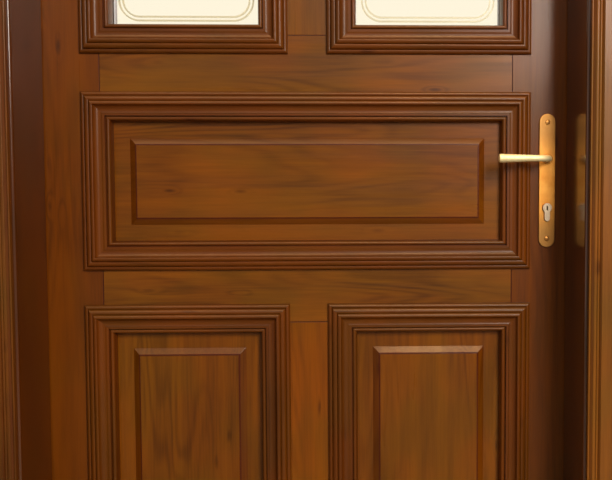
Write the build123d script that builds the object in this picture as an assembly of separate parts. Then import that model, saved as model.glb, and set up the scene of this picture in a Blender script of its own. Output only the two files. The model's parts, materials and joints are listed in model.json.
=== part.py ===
from build123d import *
import math
import os

# Panelled front door hung in its frame, in millimetres.
# The viewer stands outside and looks along +Y, X runs to the right and Z up.
# Origin: on the floor, in the middle of the doorway, in the plane of the leaf's outer face.

# Frame
clear_width = 952.0
clear_height = 2052.0
reveal_depth = 140.0
jamb_thickness = 45.0
jamb_edge_radius = 5.0
stop_lap = 15.0
stop_gap = 3.0
threshold_height = 20.0
threshold_stop_rise = 16.0
threshold_stop_depth = 12.0
threshold_nose_height = 14.0
fixing_hole_radius = 4.25
fixing_hole_spacings = (1240.0, 480.0)
fixing_hole_height = 1020.0
fixing_hole_inset = 14.0
edge_sides = 4

# Seal strip pressed into a groove beside the leaf
seal_width = 7.0
seal_inset = 3.0
seal_stem_width = 3.0
seal_stem_depth = 6.0
sill_seal_gap = 1.2

# Casings around the frame, outside and inside
casing_width = 80.0
casing_thickness = 18.0
casing_edge_height = 9.0
casing_bead_width = 3.6
casing_bead_rise = 1.6
casing_cove_width = 9.4
casing_cove_rise = 5.0
casing_cove_middle_share = 0.62
casing_cove_middle_rise = 1.5
casing_second_bead_width = 5.2
casing_second_bead_rise = 2.2
casing_quirk = 1.4
casing_slope = 0.8
casing_corner = 3.0
outer_casing_setback = 5.0
inner_casing_setback = 10.0

# Leaf
leaf_thickness = 58.0
leaf_gap = 3.0
leaf_bottom_gap = 4.0
stile_width = 112.0
top_rail_height = 112.0
frieze_rail_height = 136.0
middle_panel_height = 258.0
lock_rail_height = 131.0
lower_panel_height = 506.0
bottom_rail_height = 220.0
muntin_width = 138.0
tenon_length = 60.0
muntin_tenon_length = 30.0
tenon_thickness = 18.0
tenon_shoulder = 15.0

# Raised and fielded panels
panel_depth = 14.0
panel_tongue_reach = 10.0
field_margin = 49.5
field_bevel_width = 11.0
field_bevel_rise = 7.0
field_ledge = 1.5
field_step = 1.5

# Glass
glass_thickness = 8.0
glass_edge_gap = 3.0

# Bolection moulding, from its outer edge on the framing to its inner edge over the panel
moulding_lap = 34.0
moulding_edge_height = 2.0
small_round_sides = 2
round_sides = 3
cove_sides = 5
outer_bead_width = 7.5
outer_bead_height = 8.0
second_bead_width = 9.6
second_bead_height = 13.0
crown_bead_width = 7.6
crown_bead_height = 16.5
cove_width = 14.5
cove_middle_share = 0.39
cove_middle_height = 8.1
cove_foot_height = 7.9
fillet_width = 4.6
fillet_height = 6.6
deep_quirk_width = 1.6
deep_quirk_height = 2.0
inner_bead_width = 7.2
inner_bead_height = 5.4
inner_edge_width = 1.6
quirk_depth = 1.6

# Lift-off hinges
hinge_inset = 250.0
knuckle_radius = 7.0
knuckle_length = 60.0
knuckle_gap = 0.4
hinge_leaf_clearance = 1.0
wing_thickness = 3.0
wing_reach = 30.0
pin_radius = 3.5
pin_clearance = 0.05
pin_rise = 45.0
pin_root = 25.0
knuckle_cap = 6.0

# Lever handles and their long backplates
handle_height = 1050.0
backset = 47.0
backplate_width = 30.0
backplate_height = 246.0
backplate_thickness = 4.0
backplate_drop = 40.0
collar_radius = 9.5
collar_rise = 2.5
neck_radius = 5.8
neck_clearance = 0.3
lever_standoff = 42.0
lever_length = 96.0
lever_waist = 20.0
lever_tip_height = 16.0
lever_tip_rounding = 2.5
turned_sides = 16
spindle_size = 8.0
spindle_socket = 30.0
handle_turn = 40.0

# Mortice lock in the edge of the leaf
case_thickness = 16.0
case_wall = 1.5
case_depth = 78.0
case_rise = 40.0
case_drop = 125.0
forend_thickness = 3.0
forend_width = 20.0
forend_margin = 35.0
latch_throw = 12.0
latch_height = 34.0
latch_drop = 2.0
latch_head_length = 30.0
latch_tip = 3.0
bolt_throw = 20.0
bolt_height = 26.0
bolt_length = 60.0
bolt_thickness = 12.0
bolt_clearance = 0.3
follower_radius = 9.0
nose_radius = 3.0
follower_arm_width = 4.0
latch_play = 0.5
tail_height = 8.0
hook_thickness = 5.0

# Profile cylinder
cylinder_drop = 90.0
cylinder_radius = 8.5
cylinder_lobe_width = 10.0
cylinder_height = 33.0
cylinder_projection = 4.0
cylinder_clearance = 0.3
plug_radius = 6.2
plug_clearance = 0.05
cam_radius = 15.0
cam_width = 9.0
cam_clearance = 0.5
keyway_width = 2.4
keyway_height = 8.0
keyway_depth = 20.0

# Strike plate let into the frame
strike_thickness = 2.5
strike_width = 24.0
strike_margin = 22.0
strike_hole_clearance = 1.5
strike_pocket_margin = 2.0

# Places worked out from the sizes above
half_clear = clear_width / 2
leaf_half = half_clear + stop_lap - leaf_gap
leaf_bottom = threshold_height + leaf_bottom_gap
leaf_top = clear_height + stop_lap - leaf_gap
stile_inner = leaf_half - stile_width
muntin_half = muntin_width / 2
lower_bottom = leaf_bottom + bottom_rail_height
lower_top = lower_bottom + lower_panel_height
middle_bottom = lower_top + lock_rail_height
middle_top = middle_bottom + middle_panel_height
light_bottom = middle_top + frieze_rail_height
light_top = leaf_top - top_rail_height
centre_y = leaf_thickness / 2
tenon_front = centre_y - tenon_thickness / 2
tenon_back = centre_y + tenon_thickness / 2
glass_depth = (leaf_thickness - glass_thickness) / 2
moulding_width = (
    outer_bead_width + second_bead_width + crown_bead_width + cove_width
    + fillet_width + deep_quirk_width + inner_bead_width + inner_edge_width
)
lever_x = leaf_half - backset
cylinder_z = handle_height - cylinder_drop
hinge_x = -(leaf_half + leaf_gap / 2)
hinge_y = leaf_thickness + knuckle_radius + hinge_leaf_clearance
hinge_heights = {
    "bottom": leaf_bottom + hinge_inset,
    "middle": (leaf_bottom + leaf_top) / 2,
    "top": leaf_top - hinge_inset,
}
leaf_mirror = Plane(origin=(0, centre_y, 0), z_dir=(0, 1, 0))
room = clear_width + clear_height


def block(x_from, x_to, y_from, y_to, z_from, z_to):
    """A box between two corners."""
    centre = Pos((x_from + x_to) / 2, (y_from + y_to) / 2, (z_from + z_to) / 2)
    return centre * Box(x_to - x_from, y_to - y_from, z_to - z_from)


def rod(start, end, radius):
    """A round bar between two points."""
    start, end = Vector(*start), Vector(*end)
    plane = Plane(origin=start, z_dir=end - start)
    return plane * Cylinder(radius, (end - start).length, align=(Align.CENTER, Align.CENTER, Align.MIN))


def section(steps, origin, across, up):
    """A flat face. A step is a point for a straight side, or (middle, end, sides) for a round.

    A round follows the arc through its middle as a few straight sides, as a hand plane leaves it.
    """
    def place(point):
        return origin + across * point[0] + up * point[1]

    corners = [place(steps[0])]
    for step in steps[1:]:
        if isinstance(step[0], tuple):
            middle, end, sides = step
            arc = Edge.make_three_point_arc(corners[-1], place(middle), place(end))
            corners += [arc @ (side / sides) for side in range(1, sides + 1)]
        else:
            corners.append(place(step))
    return Face(Wire.make_polygon(corners, close=True))


def prism_xz(points, y_from, y_to):
    """A straight-sided block seen in the plane of the door."""
    face = section(points, Vector(0, y_from, 0), Vector(1, 0, 0), Vector(0, 0, 1))
    return extrude(face, amount=y_to - y_from, dir=(0, 1, 0))


def write(name, *solids):
    """One STEP file for one node."""
    pieces = [solid for shape in solids for solid in shape.solids()]
    shape = pieces[0] if len(pieces) == 1 else Compound(pieces)
    export_step(shape, f"parts/{name}.step")


def frame_lengths(steps, half_width, height, reach, foot=0.0):
    """Left, right and head lengths of one section around the doorway, mitred at the top corners."""
    right_face = section(steps, Vector(half_width, 0, foot), Vector(1, 0, 0), Vector(0, 1, 0))
    right = extrude(right_face, amount=height + reach - foot, dir=(0, 0, 1))
    right_room = prism_xz(
        [(half_width, foot), (half_width + reach, foot), (half_width + reach, height + reach),
         (half_width, height)], -room, room)
    right = right & right_room
    head_start = Vector(-half_width - reach, 0, height)
    head = extrude(section(steps, head_start, Vector(0, 0, 1), Vector(0, 1, 0)),
                   amount=2 * (half_width + reach), dir=(1, 0, 0))
    head_room = prism_xz(
        [(-half_width, height), (half_width, height), (half_width + reach, height + reach),
         (-half_width - reach, height + reach)], -room, room)
    return {"left": mirror(right, about=Plane.YZ), "right": right, "head": head & head_room}


def jamb_section():
    """Outward from the clear opening and inwards through the wall, with the leaf's rebate."""
    bend = jamb_edge_radius * (1 - math.sqrt(0.5))
    stem_from = seal_inset + (seal_width - seal_stem_width) / 2
    stem_to = stem_from + seal_stem_width
    stem_end = -stop_gap - seal_stem_depth
    return [
        (jamb_edge_radius, -reveal_depth),
        ((bend, -reveal_depth + bend), (0.0, -reveal_depth + jamb_edge_radius), edge_sides),
        (0.0, -stop_gap),
        (stem_from, -stop_gap),
        (stem_from, stem_end),
        (stem_to, stem_end),
        (stem_to, -stop_gap),
        (stop_lap, -stop_gap),
        (stop_lap, leaf_thickness),
        (jamb_thickness, leaf_thickness),
        (jamb_thickness, -reveal_depth),
    ]


def seal_section():
    """A flat strip in the stop's gap with a stem in the stop's groove."""
    stem_from = seal_inset + (seal_width - seal_stem_width) / 2
    stem_to = stem_from + seal_stem_width
    stem_end = -stop_gap - seal_stem_depth
    return [
        (seal_inset, 0.0),
        (seal_inset, -stop_gap),
        (stem_from, -stop_gap),
        (stem_from, stem_end),
        (stem_to, stem_end),
        (stem_to, -stop_gap),
        (seal_inset + seal_width, -stop_gap),
        (seal_inset + seal_width, 0.0),
    ]


def casing_section(face_y, outward):
    """A bead, a cove, a bead and a quirk beside the opening, then a flat face with an eased corner."""
    def at(across, height):
        return (across, face_y + outward * height)

    cove = casing_bead_width
    second = cove + casing_cove_width
    quirk = second + casing_second_bead_width
    flat = quirk + casing_quirk
    crest = casing_edge_height + casing_cove_rise
    hollow_across = cove + casing_cove_width * casing_cove_middle_share
    hollow = at(hollow_across, casing_edge_height + casing_cove_middle_rise)
    return [
        at(0.0, 0.0),
        at(0.0, casing_edge_height),
        (at(cove / 2, casing_edge_height + casing_bead_rise), at(cove, casing_edge_height), edge_sides),
        (hollow, at(second, crest), edge_sides),
        (at((second + quirk) / 2, crest + casing_second_bead_rise), at(quirk, crest), edge_sides),
        at(flat, crest),
        at(flat + casing_slope, casing_thickness),
        at(casing_width - casing_corner, casing_thickness),
        at(casing_width, casing_thickness - casing_corner),
        at(casing_width, 0.0),
    ]


def moulding_section(leg_depth):
    """Across from the outer edge and out from the leaf's face, down to the panel or the glass."""
    second = outer_bead_width
    crown = second + second_bead_width
    cove = crown + crown_bead_width
    cove_middle = cove + cove_width * cove_middle_share
    fillet = cove + cove_width
    deep = fillet + fillet_width
    inner = deep + deep_quirk_width
    edge = inner + inner_bead_width

    def bead(start, end, height, low, sides):
        return ((start + end) / 2, height), (end, low), sides

    return [
        (0.0, 0.0),
        (0.0, moulding_edge_height),
        bead(0.0, second, outer_bead_height, outer_bead_height - quirk_depth, small_round_sides),
        bead(second, crown, second_bead_height, second_bead_height - quirk_depth, round_sides),
        bead(crown, cove, crown_bead_height, crown_bead_height - quirk_depth, small_round_sides),
        ((cove_middle, cove_middle_height), (fillet, cove_foot_height), cove_sides),
        (fillet, fillet_height),
        (deep, fillet_height),
        (deep, deep_quirk_height),
        (inner, deep_quirk_height),
        bead(inner, edge, inner_bead_height, deep_quirk_height - quirk_depth, round_sides),
        (moulding_width, -inner_bead_height),
        (moulding_width, -leg_depth),
        (moulding_lap, -leg_depth),
        (moulding_lap, 0.0),
    ]


def moulding_ring(x_from, x_to, z_from, z_to, leg_depth):
    """Bottom, right, top and left lengths around one opening of the framing."""
    steps = moulding_section(leg_depth)
    out = Vector(0, -1, 0)
    low_x, high_x = x_from - moulding_lap, x_to + moulding_lap
    low_z, high_z = z_from - moulding_lap, z_to + moulding_lap
    outer = [(low_x, low_z), (high_x, low_z), (high_x, high_z), (low_x, high_z)]
    left, right = low_x + moulding_width, high_x - moulding_width
    bottom, top = low_z + moulding_width, high_z - moulding_width
    inner = [(left, bottom), (right, bottom), (right, top), (left, top)]
    across = [Vector(0, 0, 1), Vector(-1, 0, 0), Vector(0, 0, -1), Vector(1, 0, 0)]
    lengths = []
    for side in range(4):
        start, end = outer[side], outer[(side + 1) % 4]
        run = Vector(end[0] - start[0], 0, end[1] - start[1])
        face = section(steps, Vector(start[0], 0, start[1]), across[side], out)
        mitres = prism_xz([start, end, inner[(side + 1) % 4], inner[side]], -room, room)
        lengths.append(extrude(face, amount=run.length, dir=tuple(run.normalized())) & mitres)
    return lengths


def opening_block(opening, y_from, y_to, grow=0.0):
    """A block that fills an opening of the framing, larger by grow on every edge."""
    x_from, x_to, z_from, z_to = opening
    return block(x_from - grow, x_to + grow, y_from, y_to, z_from - grow, z_to + grow)


def raised_field(opening):
    """The bevelled field on a panel's outer face."""
    x_from, x_to, z_from, z_to = opening
    middle = ((x_from + x_to) / 2, (z_from + z_to) / 2)
    width, height = x_to - x_from - 2 * field_margin, z_to - z_from - 2 * field_margin
    base = Plane(origin=(middle[0], panel_depth, middle[1]), x_dir=(1, 0, 0), z_dir=(0, -1, 0))
    slope = math.degrees(math.atan(field_bevel_width / field_bevel_rise))
    bevel = extrude(base * Rectangle(width, height), amount=field_bevel_rise, taper=slope)
    inset = 2 * (field_bevel_width + field_ledge)
    step = base.offset(field_bevel_rise) * Rectangle(width - inset, height - inset)
    return bevel + extrude(step, amount=field_step)


def panel(opening):
    """A panel fielded on both faces, with a tongue all round for the framing's grooves."""
    board = opening_block(opening, panel_depth, leaf_thickness - panel_depth)
    board += opening_block(opening, tenon_front, tenon_back, panel_tongue_reach)
    field = raised_field(opening)
    return board + field + mirror(field, about=leaf_mirror)


def turned(start, direction, stations):
    """A bar turned round along a direction, in narrow flats. A station is (distance, radius)."""
    plane = Plane(origin=start, x_dir=(0, 0, 1), z_dir=direction)
    angles = [2 * math.pi * side / turned_sides for side in range(turned_sides)]
    rings = [
        [plane.from_local_coords((radius * math.cos(a), radius * math.sin(a), distance)) for a in angles]
        for distance, radius in stations
    ]
    faces = [Face(Wire.make_polygon(ring)) for ring in (rings[0], rings[-1])]
    for low, high in zip(rings, rings[1:]):
        for side in range(turned_sides):
            corners = [low[side - 1], low[side], high[side], high[side - 1]]
            faces.append(Face(Wire.make_polygon(corners)))
    return Solid(Shell(faces))


def profile_outline(grow=0.0):
    """The cylinder's outline: a round barrel with a narrow rounded lobe below it."""
    lobe_radius = cylinder_lobe_width / 2 + grow
    lobe_centre = cylinder_radius - cylinder_height + cylinder_lobe_width / 2
    lobe = Pos(0, lobe_centre / 2) * Rectangle(2 * lobe_radius, -lobe_centre)
    return Circle(cylinder_radius + grow) + lobe + Pos(0, lobe_centre) * Circle(lobe_radius)


def profile_block(y_from, y_to, grow=0.0):
    """The cylinder's outline drawn out along Y at the lock's place."""
    plane = Plane(origin=(lever_x, y_to, cylinder_z), x_dir=(1, 0, 0), z_dir=(0, -1, 0))
    return extrude(plane * profile_outline(grow), amount=y_to - y_from)


os.makedirs("parts", exist_ok=True)

# Framing, panels and glass of the leaf
openings = {
    "light_left": (-stile_inner, -muntin_half, light_bottom, light_top),
    "light_right": (muntin_half, stile_inner, light_bottom, light_top),
    "middle": (-stile_inner, stile_inner, middle_bottom, middle_top),
    "lower_left": (-stile_inner, -muntin_half, lower_bottom, lower_top),
    "lower_right": (muntin_half, stile_inner, lower_bottom, lower_top),
}
panelled = ("middle", "lower_left", "lower_right")
rail_heights = {
    "top_rail": (light_top, leaf_top),
    "frieze_rail": (middle_top, light_bottom),
    "lock_rail": (lower_top, middle_bottom),
    "bottom_rail": (leaf_bottom, lower_bottom),
}
muntin_heights = {"muntin_upper": (light_bottom, light_top), "muntin_lower": (lower_bottom, lower_top)}

grooves = [opening_block(openings[name], tenon_front, tenon_back, panel_tongue_reach) for name in panelled]
rail_tenons = {
    name: block(-stile_inner - tenon_length, stile_inner + tenon_length, tenon_front, tenon_back,
                low + tenon_shoulder, high - tenon_shoulder)
    for name, (low, high) in rail_heights.items()
}
muntin_tenons = {
    name: block(-muntin_half + tenon_shoulder, muntin_half - tenon_shoulder, tenon_front, tenon_back,
                low - muntin_tenon_length, high + muntin_tenon_length)
    for name, (low, high) in muntin_heights.items()
}

stile_right = block(stile_inner, leaf_half, 0, leaf_thickness, leaf_bottom, leaf_top)
for cut in [*grooves, *rail_tenons.values()]:
    stile_right -= cut
stile_left = mirror(stile_right, about=Plane.YZ)

rails = {}
for name, (low, high) in rail_heights.items():
    rail = block(-stile_inner, stile_inner, 0, leaf_thickness, low, high) + rail_tenons[name]
    for cut in [*grooves, *muntin_tenons.values()]:
        rail -= cut
    rails[name] = rail
for name, (low, high) in muntin_heights.items():
    muntin = block(-muntin_half, muntin_half, 0, leaf_thickness, low, high)
    for cut in grooves:
        muntin -= cut
    write(name, muntin + muntin_tenons[name])

for name in panelled:
    write(f"panel_{name}", panel(openings[name]))
for side in ("left", "right"):
    opening = openings[f"light_{side}"]
    pane = opening_block(opening, glass_depth, glass_depth + glass_thickness, -glass_edge_gap)
    write(f"glass_{side}", pane)

for name, opening in openings.items():
    leg_depth = panel_depth if name in panelled else glass_depth
    ring = moulding_ring(*opening, leg_depth)
    write(f"moulding_outer_{name}", *ring)
    write(f"moulding_inner_{name}", *[mirror(length, about=leaf_mirror) for length in ring])

# Frame, seal, threshold and casings
rebate_half = half_clear + stop_lap
jambs = frame_lengths(jamb_section(), half_clear, clear_height, jamb_thickness)
write("frame_head", jambs["head"])

seals = frame_lengths(seal_section(), half_clear, clear_height, jamb_thickness, threshold_height)
sill_seal_low = leaf_bottom + sill_seal_gap
sill_seal = block(-half_clear, half_clear, -stop_gap, 0, sill_seal_low, sill_seal_low + seal_width)
stem_low = sill_seal_low + (seal_width - seal_stem_width) / 2
sill_stem = block(-half_clear, half_clear, -stop_gap - seal_stem_depth, -stop_gap,
                  stem_low, stem_low + seal_stem_width)
write("frame_seal", *seals.values(), sill_seal + sill_stem)

stop_top = threshold_height + threshold_stop_rise
threshold_steps = [
    (-reveal_depth, 0.0),
    (-reveal_depth, threshold_nose_height),
    (-reveal_depth + threshold_nose_height / 2, threshold_height),
    (-stop_gap - threshold_stop_depth, stop_top),
    (-stop_gap, stop_top),
    (-stop_gap, threshold_height),
    (leaf_thickness, threshold_height),
    (leaf_thickness, 0.0),
]
threshold_face = section(threshold_steps, Vector(-rebate_half, 0, 0), Vector(0, 1, 0), Vector(0, 0, 1))
threshold = extrude(threshold_face, amount=2 * rebate_half, dir=(1, 0, 0))
for side in (-1, 1):
    x_span = sorted((side * half_clear, side * rebate_half))
    threshold -= block(*x_span, -reveal_depth, -stop_gap, 0, stop_top)
write("threshold", threshold - sill_stem)

outer_casings = frame_lengths(
    casing_section(-reveal_depth, -1), half_clear + outer_casing_setback,
    clear_height + outer_casing_setback, casing_width)
inner_casings = frame_lengths(
    casing_section(leaf_thickness, 1), rebate_half + inner_casing_setback,
    clear_height + stop_lap + inner_casing_setback, casing_width)
for side in ("left", "right", "head"):
    write(f"casing_outer_{side}", outer_casings[side])
    write(f"casing_inner_{side}", inner_casings[side])

# Fixing holes through both jambs, hidden behind the closed leaf
for spacing in fixing_hole_spacings:
    for z in (fixing_hole_height - spacing / 2, fixing_hole_height + spacing / 2):
        for side, sign in (("left", -1), ("right", 1)):
            start, end = (sign * half_clear, fixing_hole_inset, z), (sign * room, fixing_hole_inset, z)
            jambs[side] -= rod(start, end, fixing_hole_radius)

# Hinges: the frame's knuckle is the lower one and carries the pin
pins = []
frame_plate_x = (-rebate_half - wing_thickness, -rebate_half)
leaf_plate_x = (-leaf_half, -leaf_half + wing_thickness)
plate_y = (leaf_thickness - wing_reach, leaf_thickness)
for place, z in hinge_heights.items():
    low, high = z - knuckle_length, z + knuckle_length
    parting_low, parting_high = z - knuckle_gap / 2, z + knuckle_gap / 2
    frame_plate = block(*frame_plate_x, *plate_y, low, high)
    leaf_plate = block(*leaf_plate_x, *plate_y, low, high)
    jambs["left"] -= frame_plate
    stile_left -= leaf_plate
    frame_wing = frame_plate + block(*frame_plate_x, leaf_thickness, hinge_y, low, parting_low)
    frame_wing += rod((hinge_x, hinge_y, low), (hinge_x, hinge_y, parting_low), knuckle_radius)
    leaf_wing = leaf_plate + block(*leaf_plate_x, leaf_thickness, hinge_y, parting_high, high)
    leaf_wing += rod((hinge_x, hinge_y, parting_high), (hinge_x, hinge_y, high), knuckle_radius)
    pin = rod((hinge_x, hinge_y, parting_low - pin_root), (hinge_x, hinge_y, z + pin_rise), pin_radius)
    bore_end = (hinge_x, hinge_y, high - knuckle_cap)
    bore = rod((hinge_x, hinge_y, z), bore_end, pin_radius + pin_clearance)
    write(f"hinge_frame_wing_{place}", frame_wing - pin)
    write(f"hinge_leaf_wing_{place}", leaf_wing - bore)
    pins.append(pin)
write("hinge_pins", *pins)

# Lock case in its mortice, with the forend plate over it
case_back = leaf_half - forend_thickness - case_depth
case_front = leaf_half - forend_thickness
case_low, case_high = handle_height - case_drop, handle_height + case_rise
case_outer = block(case_back, case_front, centre_y - case_thickness / 2, centre_y + case_thickness / 2,
                   case_low, case_high)
inside = case_thickness / 2 - case_wall
case_inner = block(case_back + case_wall, case_front, centre_y - inside, centre_y + inside,
                   case_low + case_wall, case_high - case_wall)
forend_low, forend_high = case_low - forend_margin, case_high + forend_margin
forend = block(case_front, leaf_half, centre_y - forend_width / 2, centre_y + forend_width / 2,
               forend_low, forend_high)
spindle_hole = rod((lever_x, 0, handle_height), (lever_x, leaf_thickness, handle_height),
                   neck_radius + neck_clearance)
way_half = cylinder_radius + cylinder_clearance
cylinder_way = block(lever_x - way_half, lever_x + way_half, 0, leaf_thickness,
                     cylinder_z + cylinder_radius - cylinder_height - cylinder_clearance,
                     cylinder_z + way_half)
for cut in (case_outer, forend, spindle_hole, cylinder_way):
    stile_right -= cut
    rails = {name: rail - cut for name, rail in rails.items()}
lock_case = case_outer - case_inner - spindle_hole - cylinder_way

# Latch bolt: a bevelled head, a tail above the follower and a hook that the follower's nose pulls
turn = math.radians(handle_turn)
nose_reach = latch_throw / math.sin(turn)
latch_low = handle_height - latch_drop
latch_high = latch_low + latch_height
half_bolt = bolt_thickness / 2
latch_end = leaf_half + latch_throw
latch_back = latch_end - latch_head_length
head_steps = [
    (latch_back, centre_y - half_bolt),
    (leaf_half, centre_y - half_bolt),
    (latch_end, centre_y + half_bolt - latch_tip),
    (latch_end, centre_y + half_bolt),
    (latch_back, centre_y + half_bolt),
]
head_face = section(head_steps, Vector(0, 0, latch_low), Vector(1, 0, 0), Vector(0, 1, 0))
latch_head = extrude(head_face, amount=latch_height, dir=(0, 0, 1))
hook_front = lever_x - nose_radius - latch_play
hook_back = hook_front - hook_thickness
tail_low = handle_height + nose_reach + nose_radius + latch_play
hook_low = handle_height + follower_radius + latch_play
tail_y = (centre_y - half_bolt / 2, centre_y + half_bolt / 2)
latch_tail = block(hook_back, latch_back, *tail_y, tail_low, tail_low + tail_height)
latch_hook = block(hook_back, hook_front, *tail_y, hook_low, tail_low + tail_height)
write("latch_bolt", latch_head + latch_tail + latch_hook)

# Dead bolt, drawn back: it rides above the cam's sweep
bolt_low = cylinder_z + cam_radius + cam_clearance + bolt_clearance
bolt_high = bolt_low + bolt_height
write("dead_bolt", block(leaf_half - bolt_length, leaf_half, centre_y - half_bolt, centre_y + half_bolt,
                         bolt_low, bolt_high))


def bolt_hole(x_from, x_to, low, high, clearance):
    """A passage for a bolt of the lock."""
    reach = half_bolt + clearance
    return block(x_from, x_to, centre_y - reach, centre_y + reach, low - clearance, high + clearance)


forend -= bolt_hole(case_front, leaf_half, latch_low, latch_high, bolt_clearance)
forend -= bolt_hole(case_front, leaf_half, bolt_low, bolt_high, bolt_clearance)
write("lock_case", lock_case)
write("lock_forend", forend)

# Strike plate on the frame, with a pocket behind each hole
strike_x = rebate_half + strike_thickness
strike_low, strike_high = bolt_low - strike_margin, latch_high + strike_margin
strike = block(rebate_half, strike_x, centre_y - strike_width / 2, centre_y + strike_width / 2,
               strike_low, strike_high)
jambs["right"] -= strike
for low, high in ((latch_low, latch_high), (bolt_low, bolt_high)):
    pocket_end = leaf_half + bolt_throw + strike_pocket_margin
    pocket = bolt_hole(rebate_half, pocket_end, low, high, strike_hole_clearance)
    strike -= pocket
    jambs["right"] -= pocket
write("strike_plate", strike)
write("jamb_left", jambs["left"])
write("jamb_right", jambs["right"])

# Profile cylinder: a body with a slot for the cam, and the plugs with the cam between them
cylinder_front = -backplate_thickness - cylinder_projection
cylinder_back = leaf_thickness + backplate_thickness + cylinder_projection
cam_half = half_bolt - cam_clearance
slot_half = cam_half + cam_clearance
sweep = cam_radius + cam_clearance
cylinder_body = profile_block(cylinder_front, cylinder_back)
cylinder_body -= rod((lever_x, cylinder_front, cylinder_z), (lever_x, cylinder_back, cylinder_z),
                     plug_radius + plug_clearance)
cylinder_body -= block(lever_x - sweep, lever_x + sweep, centre_y - slot_half, centre_y + slot_half,
                       cylinder_z - sweep, cylinder_z + sweep)
write("cylinder_body", cylinder_body)


def plug(y_face, y_inner):
    """One plug, with the keyway cut from its face."""
    body = rod((lever_x, y_face, cylinder_z), (lever_x, y_inner, cylinder_z), plug_radius)
    inward = math.copysign(keyway_depth, y_inner - y_face)
    keyway = block(lever_x - keyway_width / 2, lever_x + keyway_width / 2,
                   *sorted((y_face, y_face + inward)),
                   cylinder_z - keyway_height / 2, cylinder_z + keyway_height / 2)
    return body - keyway


cam = block(lever_x - cam_width / 2, lever_x + cam_width / 2, centre_y - cam_half, centre_y + cam_half,
            cylinder_z - math.sqrt(cam_radius ** 2 - (cam_width / 2) ** 2), cylinder_z + cam_width / 2)
front_plug = plug(cylinder_front, centre_y - cam_half)
back_plug = plug(cylinder_back, centre_y + cam_half)
write("cylinder_plug", front_plug, cam, back_plug)

# Follower on the square spindle
follower = turned((lever_x, centre_y - half_bolt, handle_height), (0, 1, 0),
                  [(0.0, follower_radius), (bolt_thickness, follower_radius)])
arm_half = follower_arm_width / 2
follower += block(lever_x - arm_half, lever_x + arm_half, *tail_y, handle_height, handle_height + nose_reach)
follower += turned((lever_x, tail_y[0], handle_height + nose_reach), (0, 1, 0),
                   [(0.0, nose_radius), (half_bolt, nose_radius)])
half_spindle = spindle_size / 2
spindle = block(lever_x - half_spindle, lever_x + half_spindle,
                -spindle_socket, leaf_thickness + spindle_socket,
                handle_height - half_spindle, handle_height + half_spindle)
write("follower", follower - spindle)
write("spindle", spindle)

# Lever: a neck, a mitred elbow and a grip that swells towards its tip, all turned round
lever_y = -lever_standoff
grip_end = lever_length - lever_tip_rounding
tip_radius = lever_tip_height / 2
elbow = (lever_x, lever_y, handle_height)
neck = turned(elbow, (0, 1, 0), [(0.0, neck_radius), (lever_standoff - neck_clearance, neck_radius)])
elbow_bar = [(0.0, neck_radius), (2 * neck_radius, neck_radius)]
corner = turned((lever_x, lever_y - neck_radius, handle_height), (0, 1, 0), elbow_bar)
corner &= turned((lever_x + neck_radius, lever_y, handle_height), (-1, 0, 0), elbow_bar)
grip = turned(elbow, (-1, 0, 0), [
    (0.0, neck_radius),
    (lever_waist, neck_radius),
    (grip_end, tip_radius),
    (lever_length, tip_radius - lever_tip_rounding),
])
lever = neck + corner + grip - spindle

# Backplate: a long plate with round ends, a raised collar and the cylinder's opening
plate_z = handle_height - backplate_drop
plate_plane = Plane(origin=(lever_x, 0, plate_z), x_dir=(0, 0, 1), z_dir=(0, -1, 0))
backplate = extrude(plate_plane * SlotOverall(backplate_height, backplate_width), amount=backplate_thickness)
collar_back = (lever_x, 0, handle_height)
collar_face = (lever_x, -backplate_thickness - collar_rise, handle_height)
backplate += rod(collar_back, collar_face, collar_radius)
backplate -= rod(collar_back, collar_face, neck_radius + neck_clearance)
backplate -= profile_block(-backplate_thickness, 0, cylinder_clearance)

write("lever_outer", lever)
write("lever_inner", mirror(lever, about=leaf_mirror))
write("backplate_outer", backplate)
write("backplate_inner", mirror(backplate, about=leaf_mirror))
write("stile_left", stile_left)
write("stile_right", stile_right)
for name, rail in rails.items():
    write(name, rail)
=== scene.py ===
import json
import math

import bmesh
import bpy
from mathutils import Matrix, Vector

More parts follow.
